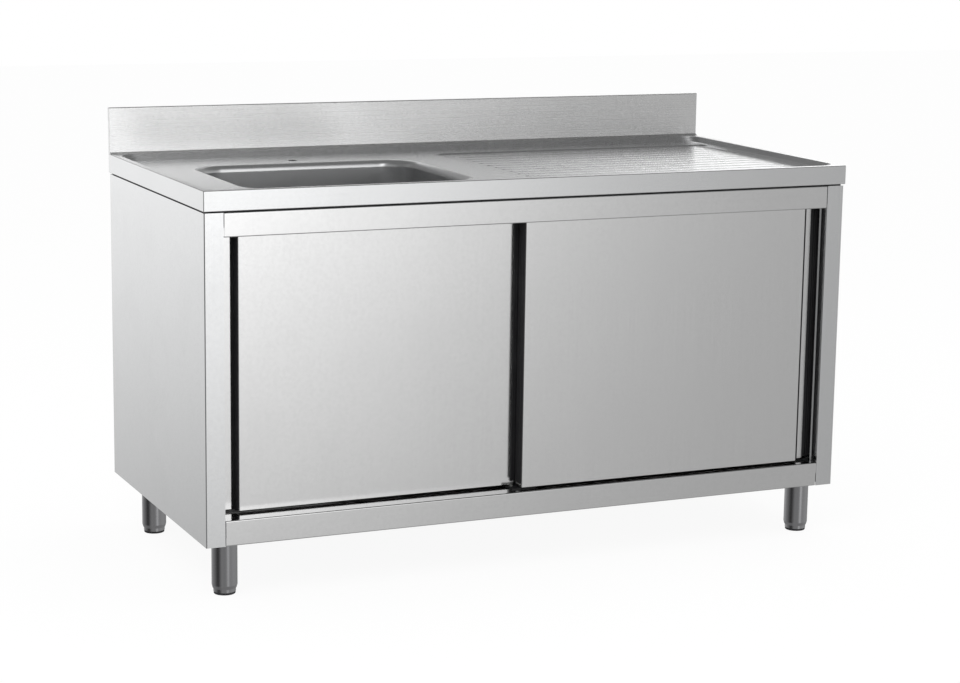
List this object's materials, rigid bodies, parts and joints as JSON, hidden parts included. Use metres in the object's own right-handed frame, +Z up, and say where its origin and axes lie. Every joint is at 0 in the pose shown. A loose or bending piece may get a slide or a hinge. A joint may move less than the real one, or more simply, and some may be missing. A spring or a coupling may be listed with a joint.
{
  "type": "kitchen sink unit",
  "caption": "Stainless steel sink unit: worktop with bowl, ribbed drainer and splashback on a cabinet with sliding doors and adjustable feet.",
  "frame": {"origin": "on the floor, below the middle of the worktop", "axes": "+Z up, +X to the right seen from the front, +Y towards the splashback; the doors face -Y"},
  "size_m": [1.5, 0.7, 0.954],
  "materials": {
    "brushed_stainless": "satin",
    "plain_stainless": "satin",
    "polished_steel": "polished",
    "leg_steel": "satin",
    "zinc_plated": "satin",
    "black_plastic": "matte",
    "black_rubber": "matte",
    "white_plastic": "gloss",
    "white_nylon": "satin",
    "chipboard": "matte",
    "honeycomb_board": "matte"
  },
  "bodies": {
    "standpipe": {"standpipe": "polished_steel", "standpipe_seal": "black_rubber"},
    "left_door": {"left_door_outer_skin": "brushed_stainless", "left_door_inner_skin": "plain_stainless", "left_door_core": "honeycomb_board", "left_door_grip_trim": "black_plastic", "left_door_side_seal": "black_plastic", "left_door_meeting_seal": "black_plastic", "left_door_hanger_screws": "zinc_plated", "left_door_axles": "zinc_plated", "left_door_outer_hanger": "zinc_plated", "left_door_inner_hanger": "zinc_plated"},
    "left_door_outer_rollers": {"left_door_outer_rollers": "white_nylon"},
    "left_door_inner_rollers": {"left_door_inner_rollers": "white_nylon"},
    "right_door": {"right_door_outer_skin": "brushed_stainless", "right_door_inner_skin": "plain_stainless", "right_door_core": "honeycomb_board", "right_door_grip_trim": "black_plastic", "right_door_side_seal": "black_plastic", "right_door_meeting_seal": "black_plastic", "right_door_hanger_screws": "zinc_plated", "right_door_axles": "zinc_plated", "right_door_outer_hanger": "zinc_plated", "right_door_inner_hanger": "zinc_plated"},
    "right_door_outer_rollers": {"right_door_outer_rollers": "white_nylon"},
    "right_door_inner_rollers": {"right_door_inner_rollers": "white_nylon"},
    "front_left_foot": {"front_left_foot_sleeve": "leg_steel", "front_left_foot_pad": "black_rubber"},
    "front_right_foot": {"front_right_foot_sleeve": "leg_steel", "front_right_foot_pad": "black_rubber"},
    "rear_left_foot": {"rear_left_foot_sleeve": "leg_steel", "rear_left_foot_pad": "black_rubber"},
    "rear_right_foot": {"rear_right_foot_sleeve": "leg_steel", "rear_right_foot_pad": "black_rubber"},
    "cabinet": {"worktop": "brushed_stainless", "sink_bowl": "brushed_stainless", "left_side_panel": "brushed_stainless", "right_side_panel": "brushed_stainless", "bottom_shelf": "brushed_stainless", "header_rail": "brushed_stainless", "back_panel": "plain_stainless", "rear_top_rail": "plain_stainless", "worktop_stiffeners": "plain_stainless", "door_track": "plain_stainless", "drainer_board": "chipboard", "spacer_strip": "black_plastic", "track_end_stops": "black_rubber", "rail_screws": "zinc_plated", "leg_bolts": "zinc_plated", "leg_bushes": "zinc_plated", "floor_guide": "black_plastic", "waste_flange": "polished_steel", "waste_gasket": "black_rubber", "waste_nut": "white_plastic", "waste_body": "white_plastic", "front_left_leg": "leg_steel", "front_right_leg": "leg_steel", "rear_left_leg": "leg_steel", "rear_right_leg": "leg_steel"}
  },
  "joints": [
    {"name": "left_door_slide", "type": "slide", "parent": "cabinet", "child": "left_door", "axis": [1, 0, 0], "range_m": [0, 0.63]},
    {"name": "left_door_outer_roller_spin", "type": "hinge", "parent": "left_door", "child": "left_door_outer_rollers", "pos_m": [-0.6188, -0.281, 0.7876], "axis": [0, 1, 0], "range_deg": [0, 4012]},
    {"name": "left_door_inner_roller_spin", "type": "hinge", "parent": "left_door", "child": "left_door_inner_rollers", "pos_m": [-0.0688, -0.281, 0.7876], "axis": [0, 1, 0], "range_deg": [0, 4012]},
    {"name": "right_door_slide", "type": "slide", "parent": "cabinet", "child": "right_door", "axis": [-1, 0, 0], "range_m": [0, 0.63]},
    {"name": "right_door_outer_roller_spin", "type": "hinge", "parent": "right_door", "child": "right_door_outer_rollers", "pos_m": [0.6188, -0.316, 0.7876], "axis": [0, -1, 0], "range_deg": [0, 4012]},
    {"name": "right_door_inner_roller_spin", "type": "hinge", "parent": "right_door", "child": "right_door_inner_rollers", "pos_m": [0.0688, -0.316, 0.7876], "axis": [0, -1, 0], "range_deg": [0, 4012]},
    {"name": "standpipe_lift", "type": "slide", "parent": "cabinet", "child": "standpipe", "axis": [0, 0, 1], "range_m": [0, 0.28]},
    {"name": "front_left_foot_height", "type": "slide", "parent": "cabinet", "child": "front_left_foot", "axis": [0, 0, -1], "range_m": [0, 0.04]},
    {"name": "front_right_foot_height", "type": "slide", "parent": "cabinet", "child": "front_right_foot", "axis": [0, 0, -1], "range_m": [0, 0.04]},
    {"name": "rear_left_foot_height", "type": "slide", "parent": "cabinet", "child": "rear_left_foot", "axis": [0, 0, -1], "range_m": [0, 0.04]},
    {"name": "rear_right_foot_height", "type": "slide", "parent": "cabinet", "child": "rear_right_foot", "axis": [0, 0, -1], "range_m": [0, 0.04]}
  ],
  "couplings": [
    {"joint": "left_door_outer_roller_spin", "follows": "left_door_slide", "rad_per_m": 111.11},
    {"joint": "left_door_inner_roller_spin", "follows": "left_door_slide", "rad_per_m": 111.11},
    {"joint": "right_door_outer_roller_spin", "follows": "right_door_slide", "rad_per_m": 111.11},
    {"joint": "right_door_inner_roller_spin", "follows": "right_door_slide", "rad_per_m": 111.11}
  ]
}
